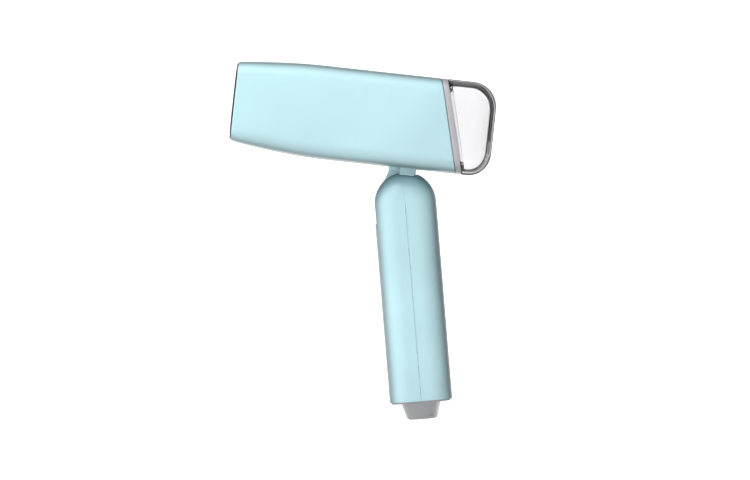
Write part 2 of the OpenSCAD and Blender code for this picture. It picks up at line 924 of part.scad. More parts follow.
// The handle's round top: its cross-section turned about the hinge pin, t inside
module dome_solid(t) {
    r = grip_r - t;
    rotate([90, 0, 0]) rotate_extrude($fn = 120) {
        intersection() {
            rounded(-(grip_hd - t), -(grip_hw - t), grip_hd - t, grip_hw - t, r);
            translate([0, -big / 4]) square([big / 4, big / 2]);
        }
    }
}

module hinge_neck() color(AQUA) {
    hw = knuckle_w / 2;
    wire_r = 3;
    dx0 = neck_x - pivot_x;
    dx1 = neck_end - pivot_x;
    belly = pivot_drop;
    // the handle's cheeks pass under the collar's front part when it folds
    collar_low = dome_r + 0.5;
    difference() {
        translate([pivot_x, 0, pivot_z]) {
            difference() {
                union() {
                    bar_y(-hw, hw, knuckle_back_r);
                    intersection() {
                        bar_y(-hw, hw, knuckle_r);
                        wedge(knuckle_fore_start, knuckle_fore_end, 2 * knuckle_r, knuckle_w);
                    }
                    // stem between the knuckle and the barrel
                    block([dx0, -hw, knuckle_r * 0.4], [dx1, hw, belly + wall + 1]);
                    // collar at the belly, deeper behind the pin
                    block([dx0, -collar_w / 2, collar_low], [dx1, collar_w / 2, belly + wall + 1]);
                    difference() {
                        block([gap, -collar_w / 2, dome_r * 0.6],
                            [dx1, collar_w / 2, collar_low + 0.5]);
                        dome_solid(-gap - 0.1);
                    }
                }
                bar_y(-hw - 1, hw + 1, pin_r + run_fit);
                bar_z(pin_r + 4, belly + wall + 2, wire_r, (dx0 + dx1) / 2 - 1);
                // nothing of the stem stands in front of the round knuckle
                difference() {
                    block([dx0 - 5, -big / 4, -big / 4], [dx0 + 6, big / 4, knuckle_r * 0.72]);
                    bar_y(-big / 3, big / 3, knuckle_r);
                }
            }
        }
        // the collar keeps off the shell's round edges
        block([0, -big / 4, flange_low], [big, big / 4, big]);
    }
    difference() {
        block([flange_x, -flange_w / 2, flange_low], [flange_x + flange_len, flange_w / 2, flange_top]);
        at_neck_screws() bar_z(flange_low - 1, flange_top + 1, screw_r + 0.2);
        at_neck_screws() bar_z(flange_low - 1, flange_low + head_h + 0.3, head_r + 0.2);
        bar_z(flange_low - 1, flange_top + 1, wire_r, pivot_x + (dx0 + dx1) / 2 - 1);
    }
}

module neck_screws() color(STEEL) {
    at_neck_screws() {
        translate([0, 0, flange_low + head_h + 0.3]) rotate([180, 0, 0]) {
            screw(screw_r, flange_t + 4.5, head_r, head_h);
        }
    }
}

module hinge_pin() color(STEEL) {
    translate([pivot_x, 0, pivot_z]) bar_y(-pin_len / 2, pin_len / 2, pin_r);
}

module hinge_washers() color(STEEL) {
    translate([pivot_x, 0, pivot_z]) {
        for (side = [-1, 1]) {
            y = side * (knuckle_w / 2 + seat / 2 + washer_t / 2);
            difference() {
                bar_y(y - washer_t / 2, y + washer_t / 2, pin_r + 4);
                bar_y(y - washer_t, y + washer_t, pin_r + run_fit);
            }
        }
    }
}

// ---- handle, drawn with the hinge pin at the origin and its length down -Z ----

// Puts a piece drawn in the handle's own frame in its place
module in_handle() {
    translate([pivot_x, 0, pivot_z]) rotate([0, -lean, 0]) children();
}

// The handle's cross-section, t inside
module grip_section(t) {
    rounded(-(grip_hd - t), -(grip_hw - t), grip_hd - t, grip_hw - t, max(grip_r - t, 1));
}

// The handle's solid, t inside, from its round top down to z0
module grip_solid(t, z0) {
    dome_solid(t);
    translate([0, 0, z0]) linear_extrude(-z0) grip_section(t);
}

// One half of the handle's case; side is -1 for front and 1 for rear
module grip_half_shell(side) {
    x0 = side < 0 ? -big / 4 : 0;
    x1 = side < 0 ? 0 : big / 4;
    cheek_low = -(dome_r + 1);
    difference() {
        intersection() {
            union() {
                difference() {
                    grip_solid(0, -handle_len);
                    grip_solid(grip_wall, -handle_len - 1);
                }
                // cheeks and pin bosses
                intersection() {
                    grip_solid(grip_wall / 2, -handle_len / 2);
                    for (s = [-1, 1]) {
                        y0 = s < 0 ? -cheek - cheek_t : cheek;
                        union() {
                            block([-big / 4, y0, cheek_low], [big / 4, y0 + cheek_t, dome_r]);
                            bar_y(s < 0 ? -grip_hw : cheek, s < 0 ? -cheek : grip_hw, pin_r + 3);
                        }
                    }
                }
                // screw bosses
                intersection() {
                    grip_solid(grip_wall / 2, -handle_len + 1);
                    for (z = [handle_screw_upper, handle_screw_lower]) {
                        bar_x(-grip_hd, grip_hd, boss_r, 0, z);
                    }
                }
            }
            block([x0, -big / 4, -handle_len], [x1, big / 4, big]);
        }
        bar_y(-pin_len / 2, pin_len / 2, pin_r);
        // the slot that the neck swings in
        wedge(slot_rear, slot_front, 3 * dome_r, 2 * cheek);
        children();
    }
}

module handle_front_shell() color(AQUA) in_handle() {
    clear_y = trigger_w / 2 + gap;
    difference() {
        grip_half_shell(-1) {
            for (z = [handle_screw_upper, handle_screw_lower]) {
                bar_x(handle_screw_seat - 22, 1, screw_r, 0, z);
            }
            // opening of the trigger
            block([-grip_hd - 1, -clear_y, -trigger_top - trigger_len - gap],
                [-grip_hd + grip_wall + 3, clear_y, -trigger_top + gap]);
        }
    }
}

module handle_rear_shell() color(AQUA) in_handle() {
    grip_half_shell(1) {
        for (z = [handle_screw_upper, handle_screw_lower]) {
            bar_x(-1, grip_hd, screw_r + 0.2, 0, z);
            bar_x(handle_screw_seat, grip_hd + 1, head_r + 0.3, 0, z);
        }
    }
}

module handle_screws() color(STEEL) in_handle() {
    for (z = [handle_screw_upper, handle_screw_lower]) {
        translate([handle_screw_seat, 0, z]) rotate([0, 90, 0]) {
            screw(screw_r, 21, head_r, head_h);
        }
    }
}

module steam_trigger() color(AQUA) in_handle() {
    top = -trigger_top;
    low = top - trigger_len;
    hw = trigger_w / 2;
    // the part that shows, flush with the handle's front
    intersection() {
        grip_solid(0, -handle_len);
        block([-grip_hd, -hw, low], [trigger_back, hw, top]);
    }
    // lip that keeps it in the case
    intersection() {
        grip_solid(grip_wall + seat, -handle_len);
        block([lip_x, -hw - lip_w, low - lip_w], [lip_x + lip_t, hw + lip_w, top + lip_w]);
    }
    bar_x(trigger_back - 1, plunger_tip, push_r, 0, trigger_mid);
}

// A coil wound round the trigger's push rod
module trigger_spring() color(STEEL) in_handle() {
    x0 = trigger_back;
    x1 = switch_x;
    sides = 6;
    per_turn = 16;
    steps = spring_turns * per_turn;
    rise = x1 - x0 - 2 * spring_wire;
    ring = [for (i = [0 : steps]) for (k = [0 : sides - 1])
        let (a = i * 360 / per_turn, b = k * 360 / sides, r = spring_r + spring_wire * cos(b))
        [x0 + spring_wire + rise * i / steps + spring_wire * sin(b), r * cos(a), r * sin(a)]];
    faces = [for (i = [0 : steps - 1]) for (k = [0 : sides - 1])
        let (n = (k + 1) % sides)
        [i * sides + k, i * sides + n, (i + 1) * sides + n, (i + 1) * sides + k]];
    ends = [[for (k = [sides - 1 : -1 : 0]) k], [for (k = [0 : sides - 1]) steps * sides + k]];
    translate([0, 0, trigger_mid]) polyhedron(ring, concat(faces, ends));
}

module switch_housing() color(DARK) in_handle() {
    difference() {
        block([switch_x, -switch_w / 2, trigger_mid - switch_h / 2],
            [switch_x + switch_len, switch_w / 2, trigger_mid + switch_h / 2]);
        bar_x(switch_x - 1, switch_x + trigger_travel + 4, plunger_r + run_fit, 0, trigger_mid);
    }
}

module switch_plunger() color(NATURAL) in_handle() {
    bar_x(plunger_tip, switch_x + 3, plunger_r, 0, trigger_mid);
}

module switch_carrier() color(NATURAL) in_handle() {
    x0 = switch_x + switch_len;
    intersection() {
        grip_solid(grip_wall + seat, -handle_len);
        union() {
            block([x0, -big / 4, trigger_mid - switch_h / 2 - 3],
                [x0 + carrier_t, big / 4, trigger_mid + switch_h / 2 + 3]);
            for (s = [-1, 1]) {
                z = trigger_mid + s * (switch_h / 2 + 2);
                block([x0, -5, z - 1], [big / 4, 5, z + 1]);
            }
        }
    }
}

module terminal_block() color(NATURAL) in_handle() {
    way = 7;
    difference() {
        block([-6, -1.5 * way, block_z - 6], [6, 1.5 * way, block_z + 6]);
        for (i = [-1 : 1]) {
            bar_z(block_z - 7, block_z + 7, 1.5, 2, i * way);
            bar_x(-7, 0, 1.8, i * way, block_z);
        }
    }
}

module cord_clamp() color(DARK) in_handle() {
    clamp_h = 8;
    difference() {
        intersection() {
            grip_solid(grip_wall + seat, -handle_len);
            block([-4, -big / 4, clamp_z - clamp_h / 2], [8, big / 4, clamp_z + clamp_h / 2]);
        }
        bar_z(clamp_z - clamp_h, clamp_z + clamp_h, cord_r);
        for (y = [-10, 10]) {
            bar_x(-5, 9, screw_r, y, clamp_z);
        }
    }
}

module clamp_screws() color(STEEL) in_handle() {
    for (y = [-10, 10]) {
        translate([8, y, clamp_z]) rotate([0, 90, 0]) screw(screw_r, 11, head_r, head_h);
    }
}

// ---- cord end ----

module base_cap() color(GREY) in_handle() {
    difference() {
        union() {
            translate([0, 0, -handle_len - cap_t]) linear_extrude(cap_t) grip_section(cap_in);
            translate([0, 0, -handle_len]) linear_extrude(cap_plug) {
                grip_section(grip_wall + seat);
            }
        }
        translate([0, 0, -handle_len + 2]) linear_extrude(cap_plug) {
            difference() {
                grip_section(grip_wall + seat + 2);
                circle(shaft_r + 3);
            }
        }
        bar_z(-handle_len - cap_t - 1, 0, shaft_r + run_fit);
    }
}

module cord_gland() color(STEEL) in_handle() {
    z1 = -handle_len - cap_t - seat;
    z0 = z1 - gland_h;
    slope = (gland_top_r - gland_low_r) / gland_h;
    difference() {
        union() {
            // cone down to its rounded lower edge
            translate([0, 0, z0 + gland_round]) {
                cylinder(r1 = gland_low_r + slope * gland_round, r2 = gland_top_r,
                    h = gland_h - gland_round);
            }
            translate([0, 0, z0 + gland_round]) rotate_extrude() {
                intersection() {
                    union() {
                        translate([gland_low_r + slope * gland_round - gland_round, 0]) {
                            circle(gland_round);
                        }
                        translate([0, -gland_round]) {
                            square([gland_low_r + slope * gland_round - gland_round,
                                gland_round]);
                        }
                    }
                    translate([0, -gland_round]) square([big / 4, gland_round]);
                }
            }
            bar_z(z1 - 0.5, shaft_top, shaft_r);
        }
        bar_z(z0 - 1, shaft_top + 1, cord_r);
        // groove of the clip
        difference() {
            bar_z(clip_z, clip_z + clip_t, shaft_r + 1);
            bar_z(clip_z - 1, clip_z + clip_t + 1, shaft_r - 1);
        }
    }
}

module gland_clip() color(STEEL) in_handle() {
    difference() {
        bar_z(clip_z, clip_z + clip_t, shaft_r + 2.2);
        bar_z(clip_z - 1, clip_z + clip_t + 1, shaft_r - 1);
        block([-3, 0, clip_z - 1], [3, big / 4, clip_z + clip_t + 1]);
    }
}

// ---- what is drawn ----

barrel_shell_left();
barrel_shell_right();
barrel_screws();
front_bezel();
steam_plate();
chamber_seal();
steam_chamber();
heating_element();
element_strap();
thermostat();
thermal_fuse();
inlet_nipple();
heat_shield();
chamber_screws();
outlet_hose();
pump_body();
pump_coil();
pump_frame();
pump_cradle();
inlet_hose();
chassis();
control_board();
board_parts();
rear_bulkhead();
trim_ring();
hinge_neck();
neck_screws();
hinge_pin();
hinge_washers();
handle_front_shell();
handle_rear_shell();
handle_screws();
steam_trigger();
trigger_spring();
switch_housing();
switch_plunger();
switch_carrier();
terminal_block();
cord_clamp();
clamp_screws();
base_cap();
cord_gland();
gland_clip();
tank_shell();
tank_front();
tank_valve();
valve_flap();
tank_oring();
filler_plug();
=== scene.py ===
# %% [markdown]
# # A handheld garment steamer
#
# The steamer has an aqua barrel with a steel steam plate on its front, a clear
# water tank on its back and a handle that folds about a pin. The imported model
# gives exact solids for all of it, and this script puts the finished surfaces,
# the materials, the lights and the camera around them.
#
# All lengths below are written in millimetres, because that is how the parts
# are drawn, and are turned into metres only when a mesh is made.

import json
import math

import bmesh
import bpy
import numpy as np
from mathutils import Matrix, Vector


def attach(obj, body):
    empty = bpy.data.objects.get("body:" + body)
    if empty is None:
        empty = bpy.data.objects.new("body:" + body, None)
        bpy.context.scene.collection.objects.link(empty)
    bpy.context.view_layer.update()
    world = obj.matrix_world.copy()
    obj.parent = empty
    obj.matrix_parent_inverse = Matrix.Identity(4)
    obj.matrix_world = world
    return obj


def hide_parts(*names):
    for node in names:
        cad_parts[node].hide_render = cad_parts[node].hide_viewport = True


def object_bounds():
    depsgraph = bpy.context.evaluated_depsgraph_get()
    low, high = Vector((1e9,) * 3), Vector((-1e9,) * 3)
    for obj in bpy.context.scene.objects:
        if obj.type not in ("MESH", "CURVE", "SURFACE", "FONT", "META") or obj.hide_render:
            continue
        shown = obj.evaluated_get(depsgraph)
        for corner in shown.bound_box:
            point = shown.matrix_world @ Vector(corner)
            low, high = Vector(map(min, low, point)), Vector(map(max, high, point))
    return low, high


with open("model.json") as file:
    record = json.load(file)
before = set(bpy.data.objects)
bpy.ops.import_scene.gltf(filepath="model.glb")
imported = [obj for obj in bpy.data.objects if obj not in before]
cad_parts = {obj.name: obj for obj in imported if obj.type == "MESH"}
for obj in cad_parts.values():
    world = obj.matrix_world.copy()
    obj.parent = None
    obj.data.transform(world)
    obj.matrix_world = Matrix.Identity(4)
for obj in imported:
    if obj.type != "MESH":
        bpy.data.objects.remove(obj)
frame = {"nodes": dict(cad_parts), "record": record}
model_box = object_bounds()
MM = 0.001
print("pieces in the packed model:", len(frame["nodes"]))

# %% [markdown]
# ## Making meshes from whole arrays
#
# Almost every moulded piece here is one sheet of points, wrapped round into a
# closed skin. Numbering the faces of such a sheet is the same job each time,
# so it is done once. The sheet may wrap in either direction, and a C-shaped
# wall that doesn't wrap gets its two ends filled.


# %%
def sheet_faces(rows, columns, wrap_rows=False, wrap_columns=True):
    """Quads of a sheet of rows x columns points: each joins a point, the next in its
    row, and the two under them.
    """
    down = np.arange(rows if wrap_rows else rows - 1)[:, None]
    along = np.arange(columns if wrap_columns else columns - 1)[None, :]
    lower, later = (down + 1) % rows, (along + 1) % columns
    quads = np.stack(
        [
            down * columns + along,
            down * columns + later,
            lower * columns + later,
            lower * columns + along,
        ],
        axis=-1,
    )
    return quads.reshape(-1, 4)


def end_faces(row, columns):
    """Quads that close one end of a wall whose row runs out over the skin and back
    under it: point i faces point (columns - 1 - i).
    """
    i = np.arange(columns // 2 - 1)
    base = row * columns
    return np.stack(
        [base + i, base + i + 1, base + columns - 2 - i, base + columns - 1 - i],
        axis=-1,
    )


def piece(name, points, faces, sharp=32):
    """An object from an array of points in millimetres and an array of quads, welded,
    turned outwards and smooth but for edges over the given angle.
    """
    mesh = bpy.data.meshes.new(name)
    mesh.from_pydata((points.reshape(-1, 3) * MM).tolist(), [], faces.tolist())
    work = bmesh.new()
    work.from_mesh(mesh)
    bmesh.ops.remove_doubles(work, verts=work.verts, dist=2e-6)
    bmesh.ops.dissolve_degenerate(work, edges=work.edges, dist=1e-7)
    bmesh.ops.recalc_face_normals(work, faces=work.faces)
    work.to_mesh(mesh)
    work.free()
    mesh.shade_smooth()
    mesh.set_sharp_from_angle(angle=math.radians(sharp))
    made = bpy.data.objects.new(name, mesh)
    bpy.context.scene.collection.objects.link(made)
    return made


def cut(target, *tools):
    """Takes each tool's solid out of the target, and then removes the tools."""
    for tool in tools:
        hole = target.modifiers.new("hole", "BOOLEAN")
        hole.operation, hole.solver, hole.object = "DIFFERENCE", "EXACT", tool
    graph = bpy.context.evaluated_depsgraph_get()
    mesh = bpy.data.meshes.new_from_object(target.evaluated_get(graph))
    target.modifiers.clear()
    target.data = mesh
    mesh.shade_smooth()
    mesh.set_sharp_from_angle(angle=math.radians(32))
    for tool in tools:
        bpy.data.objects.remove(tool)


def place(made, body, slot, finish, *nodes):
    """Gives a piece its body and its finish, and the solids it stands
    for. The slot argument is not used.
    """
    made.data.materials.clear()
    made.data.materials.append(finish)
    if nodes:
        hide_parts(*nodes)
    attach(made, body)
    print(made.name, len(made.data.vertices), "points")


# %% [markdown]
# ## Shader arithmetic in plain Python
#
# A material is a sum of many small patterns. Written as nodes it is a long
# list of links, so this small class lets a socket be added, multiplied and
# compared like a number, and makes the Math nodes behind it.


# %%
class Wire:
    """A number that flows through a material: one output socket and its node tree."""

    def __init__(self, tree, socket):
        self.tree, self.socket = tree, socket

    def _maths(self, operation, first, second):
        node = self.tree.nodes.new("ShaderNodeMath")
        node.operation = operation
        for slot, value in enumerate((first, second)):
            if isinstance(value, Wire):
                self.tree.links.new(value.socket, node.inputs[slot])
            else:
                node.inputs[slot].default_value = value
        return Wire(self.tree, node.outputs[0])

    def __add__(self, other):
        return self._maths("ADD", self, other)

    def __radd__(self, other):
        return self._maths("ADD", other, self)

    def __sub__(self, other):
        return self._maths("SUBTRACT", self, other)

    def __rsub__(self, other):
        return self._maths("SUBTRACT", other, self)

    def __mul__(self, other):
        return self._maths("MULTIPLY", self, other)

    def __rmul__(self, other):
        return self._maths("MULTIPLY", other, self)

    def __truediv__(self, other):
        return self._maths("DIVIDE", self, other)

    def __rtruediv__(self, other):
        return self._maths("DIVIDE", other, self)

    def over(self, low, high):
        """0 below low, 1 above high, and smooth between them."""
        node = self.tree.nodes.new("ShaderNodeMapRange")
        node.interpolation_type = "SMOOTHSTEP"
        self.tree.links.new(self.socket, node.inputs["Value"])
        node.inputs["From Min"].default_value = low
        node.inputs["From Max"].default_value = high
        return Wire(self.tree, node.outputs["Result"])


class Finish:
    """One material: its node tree, and short ways to add patterns and colours."""

    def __init__(self, name):
        self.material = bpy.data.materials.new(name)
        self.material.use_nodes = True
        self.tree = self.material.node_tree
        self.tree.nodes.clear()
        self.surface = self.node("ShaderNodeBsdfPrincipled")
        self.output = self.node("ShaderNodeOutputMaterial")
        self.tree.links.new(self.surface.outputs[0], self.output.inputs["Surface"])
        self.place = self.node("ShaderNodeTexCoord").outputs["Object"]

    def node(self, kind, settings=None, **sockets):
        """A node of any type, with its settings, and its sockets set to values or
        linked to wires.
        """
        made = self.tree.nodes.new(kind)
        for key, value in (settings or {}).items():
            setattr(made, key, value)
        self.fill(made, **sockets)
        return made

    def fill(self, node, **sockets):
        """Links a node's sockets to wires or sockets, or sets them to values."""
        for key, value in sockets.items():
            socket = node.inputs[key.replace("_", " ")]
            if isinstance(value, Wire):
                self.tree.links.new(value.socket, socket)
            elif isinstance(value, bpy.types.NodeSocket):
                self.tree.links.new(value, socket)
            else:
                socket.default_value = value

    def set(self, **sockets):
        """Sets or links sockets of the surface shader."""
        self.fill(self.surface, **sockets)

    def noise(self, per_metre, detail=3.0, stretch=(1.0, 1.0, 1.0)):
        """A cloudy pattern from 0 to 1, stretched along some axes when asked."""
        scaled = self.node(
            "ShaderNodeVectorMath",
            {"operation": "MULTIPLY"},
        )
        self.tree.links.new(self.place, scaled.inputs[0])
        scaled.inputs[1].default_value = stretch
        made = self.node(
            "ShaderNodeTexNoise",
            Scale=per_metre,
            Detail=detail,
            Vector=scaled.outputs[0],
        )
        return Wire(self.tree, made.outputs[0])

    def axis(self, name):
        """The distance along one axis of the piece, in metres."""
        split = self.node("ShaderNodeSeparateXYZ", Vector=self.place)
        return Wire(self.tree, split.outputs[name])

    def facing(self, blend):
        """1 where the surface turns edge-on, 0 where it faces the eye."""
        made = self.node("ShaderNodeLayerWeight", Blend=blend)
        return Wire(self.tree, made.outputs["Facing"])

    def mix(self, factor, one, other):
        """A colour between one and other."""
        made = self.node("ShaderNodeMix", {"data_type": "RGBA"})
        self.tree.links.new(factor.socket, made.inputs[0])
        for slot, value in ((6, one), (7, other)):
            if isinstance(value, bpy.types.NodeSocket):
                self.tree.links.new(value, made.inputs[slot])
            else:
                made.inputs[slot].default_value = (*value, 1.0)
        return made.outputs[2]

    def bump(self, height, depth, strength=0.3):
        """Raises the surface by height times depth metres."""
        made = self.node(
            "ShaderNodeBump", Strength=strength, Distance=depth, Height=height
        )
        self.tree.links.new(made.outputs[0], self.surface.inputs["Normal"])


# %% [markdown]
# ## Finishes
#
# Moulded plastic is never quite even: the colour drifts slowly with the flow
# of the melt, the polish has fine texture, and handling leaves faint rubs.
# The plastic recipe also carries painted shade: its colour darkens where the
# surface turns edge-on to the eye.
# One recipe with different numbers serves every plastic and rubber, and a
# second one, with lines drawn by the tool, serves the metals.


# %%
def plastic(name, colour, rough, shine=0.5, grain=2600, depth=6e-6, drift=0.03, shade=0.0):
    """Moulded plastic or rubber: slow colour drift, fine surface grain, faint rubs
    where it is handled, and painted shade that darkens the colour where the
    surface turns edge-on.
    """
    made = Finish(name)
    slow = made.noise(14.0, 2.0)
    fine = made.noise(grain, 2.0)
    rubs = made.noise(90.0, 4.0, (1.0, 1.0, 0.25)).over(0.56, 0.74)
    darker = [c * (1 - 2 * drift) for c in colour]
    lighter = [min(1.0, c * (1 + drift)) for c in colour]
    tone = made.mix(slow.over(0.3, 0.7), darker, lighter)
    worn = [min(1.0, c * 0.97 + 0.012) for c in colour]
    # Painted shade: where the surface turns edge-on, the base colour is mixed towards a quarter
    # of itself. This stands in for light falling off over the rounded edges.
    edge = made.facing(0.5).over(0.10, 0.65) * shade
    handled = made.mix(rubs * 0.35, tone, worn)
    made.set(Base_Color=made.mix(edge, handled, [c * 0.25 for c in colour]))
    made.set(Roughness=rough + (slow - 0.5) * 0.05 + rubs * 0.06 + (fine - 0.5) * 0.04)
    made.set(Specular_IOR_Level=shine)
    made.bump(fine + rubs * 0.5, depth, 0.25)
    return made.material


def metal(name, colour, rough, lines=(1.0, 0.04, 0.04), cast=False):
    """Bare or plated metal: tool lines along one axis, stains, and roughness that
    follows both.
    """
    made = Finish(name)
    drawn = made.noise(2600.0, 3.0, lines)
    stains = made.noise(60.0, 4.0)
    pits = made.noise(700.0, 5.0)
    dull = [c * 0.82 for c in colour]
    made.set(Base_Color=made.mix(stains.over(0.42, 0.72) * 0.6, colour, dull))
    made.set(Metallic=1.0)
    made.set(Roughness=rough + (drawn - 0.5) * 0.12 + stains.over(0.5, 0.8) * 0.1)
    made.bump(pits if cast else drawn, 3e-5 if cast else 6e-6, 0.4 if cast else 0.2)
    return made.material


def clear(name, tint):
    """Clear moulded plastic, very slightly smoky, with faint flow streaks, dust and
    rubs, and near-black painted shade mixed in where the surface turns edge-on.
    """
    made = Finish(name)
    flow = made.noise(30.0, 2.0, (0.3, 1.0, 1.0))
    dust = made.noise(900.0, 4.0).over(0.62, 0.8)
    rubs = made.noise(120.0, 4.0, (1.0, 0.2, 1.0)).over(0.58, 0.75)
    smoke = [c * 0.95 for c in tint]
    backwards = made.axis("X").over(0.150, 0.168)
    made.set(Base_Color=made.mix(flow.over(0.3, 0.7) * 0.5 + backwards * 0.5, tint, smoke))
    made.set(Roughness=0.02 + dust * 0.10 + rubs * 0.05)
    made.set(Transmission_Weight=1.0, IOR=1.49, Specular_IOR_Level=0.5)
    made.bump(flow + dust * 0.2, 2e-5, 0.15)
    # Painted shade: a near-black diffuse layer is mixed over the clear surface where it turns
    # edge-on. It paints the blackish rims that refraction and reflection draw on clear plastic.
    painted_rim_shade = made.node("ShaderNodeBsdfDiffuse", Color=(0.03, 0.028, 0.034, 1))
    rim = made.node("ShaderNodeMixShader", Fac=made.facing(0.5).over(0.50, 0.80) * 0.9)
    made.tree.links.new(made.surface.outputs[0], rim.inputs[1])
    made.tree.links.new(painted_rim_shade.outputs[0], rim.inputs[2])
    made.tree.links.new(rim.outputs[0], made.output.inputs["Surface"])
    return made.material


def board(name):
    """A circuit board: green solder mask over copper tracks, with pads that show metal."""
    made = Finish(name)
    tracks = made.node(
        "ShaderNodeTexBrick",
        Vector=made.place,
        Scale=180.0,
        Color1=(0.010, 0.105, 0.048, 1),
        Color2=(0.014, 0.135, 0.060, 1),
        Mortar=(0.030, 0.200, 0.085, 1),
        Mortar_Size=0.03,
    )
    weave = made.noise(1500.0, 2.0)
    made.set(Base_Color=made.mix(weave * 0.2, tracks.outputs[0], (0.02, 0.09, 0.045)))
    made.set(Roughness=0.32 + (weave - 0.5) * 0.1)
    made.bump(weave, 1e-5, 0.2)
    return made.material


AQUA = (0.53, 0.785, 0.84)
finishes = {
    "aqua_plastic": plastic("aqua plastic", AQUA, 0.33, shine=0.4, shade=0.9),
    "grey_plastic": plastic("grey plastic", (0.50, 0.49, 0.52), 0.34, shine=0.35, shade=0.5),
    "black_plastic": plastic("black plastic", (0.022, 0.022, 0.024), 0.42),
    "natural_plastic": plastic("natural plastic", (0.72, 0.70, 0.64), 0.45),
    "plate_steel": metal("plate steel", (0.60, 0.60, 0.61), 0.24, (0.04, 1.0, 0.04)),
    "plated_steel": metal("plated steel", (0.36, 0.36, 0.37), 0.25, (1.0, 1.0, 0.1)),
    "cast_alloy": metal("cast alloy", (0.50, 0.50, 0.51), 0.48, cast=True),
    "brass": metal("brass", (0.66, 0.47, 0.19), 0.30),
    "silicone": plastic("silicone", (0.55, 0.55, 0.53), 0.55, grain=900, depth=1e-5),
    "black_rubber": plastic("black rubber", (0.016, 0.016, 0.017), 0.62, depth=1e-5),
    "clear_plastic": clear("clear plastic", (0.88, 0.88, 0.89)),
    "circuit_board": board("circuit board"),
}
print("finishes:", ", ".join(finishes))

# %% [markdown]
# ## Finishes for the solids that stay as they are
#
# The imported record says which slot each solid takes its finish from. The
# inner parts, the hinge and the gland are already exact, so they are kept and
# only given their finish.

# %%
slot_of = {s["node"]: s["material_slot"] for s in frame["record"]["subparts"]}
for name, solid in frame["nodes"].items():
    solid.data.materials.clear()
    solid.data.materials.append(finishes[slot_of[name]])
print("solids finished:", len(slot_of))

# %% [markdown]
# ## The barrel's outline
#
# The barrel is a rounded box whose top and belly curve down and up towards
# the plate, and whose back end is cut on a slant. The sides bulge a little,
# as a moulded shell's do, which keeps long highlights from lying dead flat.
# Half of the section is written once as a table, and every wall is that table
# at another place along the barrel.

# %%
UP, DOWN, HALF_WIDTH = 29.2, 31.2, 33.0
FRONT, RING_TOP, SLANT = 1.2, 132.1, math.tan(math.radians(14.3))
TOP_DROP, TOP_RUN, BELLY_RISE, BELLY_RUN = 4.3, 56.0, 6.0, 65.0
EDGE, WALL, RING, TANK_END = 9.0, 2.2, 3.9, 169.096


def half_table(flat=9, arc=13, side=19):
    """Rows (a, b, s, q) of half a rounded box's section, from the middle of the top
    round one side to the middle of the bottom. A point is a times the flat's half
    width plus b corner radii out, s of the way down the side, and q corner radii
    up.
    """
    f, t = np.linspace(0, 1, flat), np.linspace(0, 90, arc)[1:]
    t, down = np.radians(t), np.linspace(0, 1, side)[1:]
    one, none = np.ones, np.zeros
    top = np.stack([f, none(flat), none(flat), one(flat)], 1)
    shoulder = np.stack([one(arc - 1), np.sin(t), none(arc - 1), np.cos(t)], 1)
    flank = np.stack([one(side - 1), one(side - 1), down, none(side - 1)], 1)
    hip = np.stack([one(arc - 1), np.cos(t), one(arc - 1), -np.sin(t)], 1)
    belly = np.stack(
        [1 - f[1:], none(flat - 1), one(flat - 1), -one(flat - 1)], 1
    )
    return np.concatenate([top, shoulder, flank, hip, belly])


def crown(x):
    """How far the shell's corners sit inside the plain box, in millimetres, growing
    back from the plate.
    """
    s = np.clip((x - FRONT) / 26.0, 0, 1)
    return 1.5 * s * s * (3 - 2 * s)


def section(x, inset, table):
    """Points (y, z) of half the section at each x, moved in by inset. The top falls
    and the belly rises along a circle towards the front.
    """
    r_top = (TOP_RUN**2 + TOP_DROP**2) / (2 * TOP_DROP)
    r_low = (BELLY_RUN**2 + BELLY_RISE**2) / (2 * BELLY_RISE)
    fore_top, fore_low = np.clip(TOP_RUN - x, 0, None), np.clip(BELLY_RUN - x, 0, None)
    z_top = UP - (r_top - np.sqrt(r_top**2 - fore_top**2)) - inset
    z_low = -DOWN + (r_low - np.sqrt(r_low**2 - fore_low**2)) + inset
    a, b, s, q = (table[:, i] for i in range(4))
    w, r = HALF_WIDTH - inset, np.maximum(EDGE - inset, 0.6)
    y = (w - r) * a + r * b
    z = (1 - s) * (z_top - r) + s * (z_low + r) + r * q
    middle, height = (z_top + z_low) / 2, (z_top - z_low) / 2
    rise, c = (z - middle) / height, crown(x)
    return y * (1 - c / w * (0.4 * rise**2 + 0.6 * rise**4)), z - 0.6 * c * (y / w) ** 2 * rise


def ring_plane(z):
    """Where the slanted back of the barrel is, at a height."""
    return RING_TOP + (UP - z) * SLANT


def wall_rows(steps, inset, start, end, table):
    """Rows of points (x, y, z) from the start to the end of a stretch of wall. Start
    and end are functions of height, so a few passes settle x and z together.
    """
    steps, inset = np.asarray(steps)[:, None], np.asarray(inset)[:, None]
    y, z = section(np.full(steps.shape, 60.0), inset, table)
    for _ in range(6):
        x = start(z) + steps * (end(z) - start(z))
        y, z = section(x, inset, table)
    return np.stack(np.broadcast_arrays(x, y, z), -1)


def ring_round(rows):
    """The full section from half of it: the half, then its mirror image read backwards."""
    other = rows[:, -2:0:-1] * np.array([1.0, -1.0, 1.0])
    return np.concatenate([rows, other], axis=1)


table = half_table()
print("points in half a section:", len(table))

# %% [markdown]
# ## Barrel shells
#
# The real barrel is two mouldings that meet on the middle plane, screwed
# together from one side. Each is one C-shaped wall. The first and last rows
# step in a little so that the rims are rounded, and the edges at the middle
# stand a tenth of a millimetre apart, which draws the seam. The two screw
# recesses on the far side are drilled with plain cylinders.


